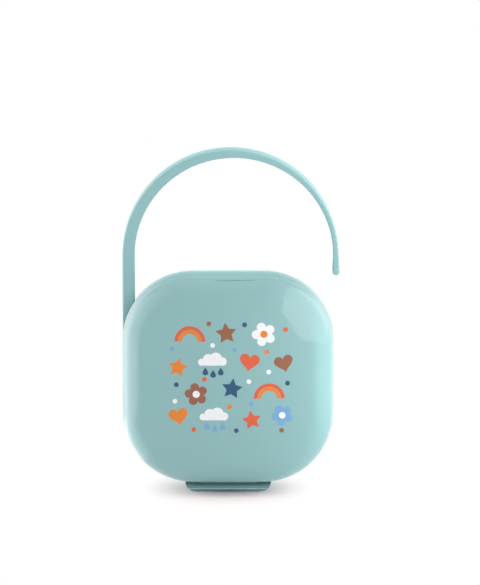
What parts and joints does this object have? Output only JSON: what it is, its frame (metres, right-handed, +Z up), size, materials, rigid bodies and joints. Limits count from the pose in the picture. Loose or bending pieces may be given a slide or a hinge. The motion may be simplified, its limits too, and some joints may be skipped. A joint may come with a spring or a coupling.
{
  "type": "pacifier case",
  "caption": "Rounded soother case with a domed cover hinged at its foot, an inner divider and an open hook handle.",
  "frame": {"origin": "centre of the flat resting face under the foot", "axes": "+X to the right seen from the front, front faces -Y, +Z up"},
  "size_m": [0.0903, 0.044, 0.1432],
  "materials": {
    "shell": "glossy moulded plastic, pale sea green",
    "cover": "glossy moulded plastic, pale sea green, printed face",
    "divider": "satin moulded plastic, off white",
    "pin_steel": "drawn steel",
    "strap": "satin flexible plastic, pale sea green"
  },
  "bodies": {
    "case": {"rear_shell": "shell", "divider_panel": "divider", "hinge_pin": "pin_steel", "handle_pin": "pin_steel"},
    "cover": {"front_cover": "cover"},
    "handle": {"carry_handle": "strap"}
  },
  "joints": [
    {"name": "cover_hinge", "type": "hinge", "parent": "case", "child": "cover", "pos_m": [0, -0.006, 0.00205], "axis": [1, 0, 0], "range_deg": [0, 110]},
    {"name": "handle_flex", "type": "hinge", "parent": "case", "child": "handle", "pos_m": [-0.0401, 0.004, 0.05835], "axis": [0, -1, 0], "range_deg": [0, 25], "stiffness_Nm_per_rad": 0.6}
  ]
}
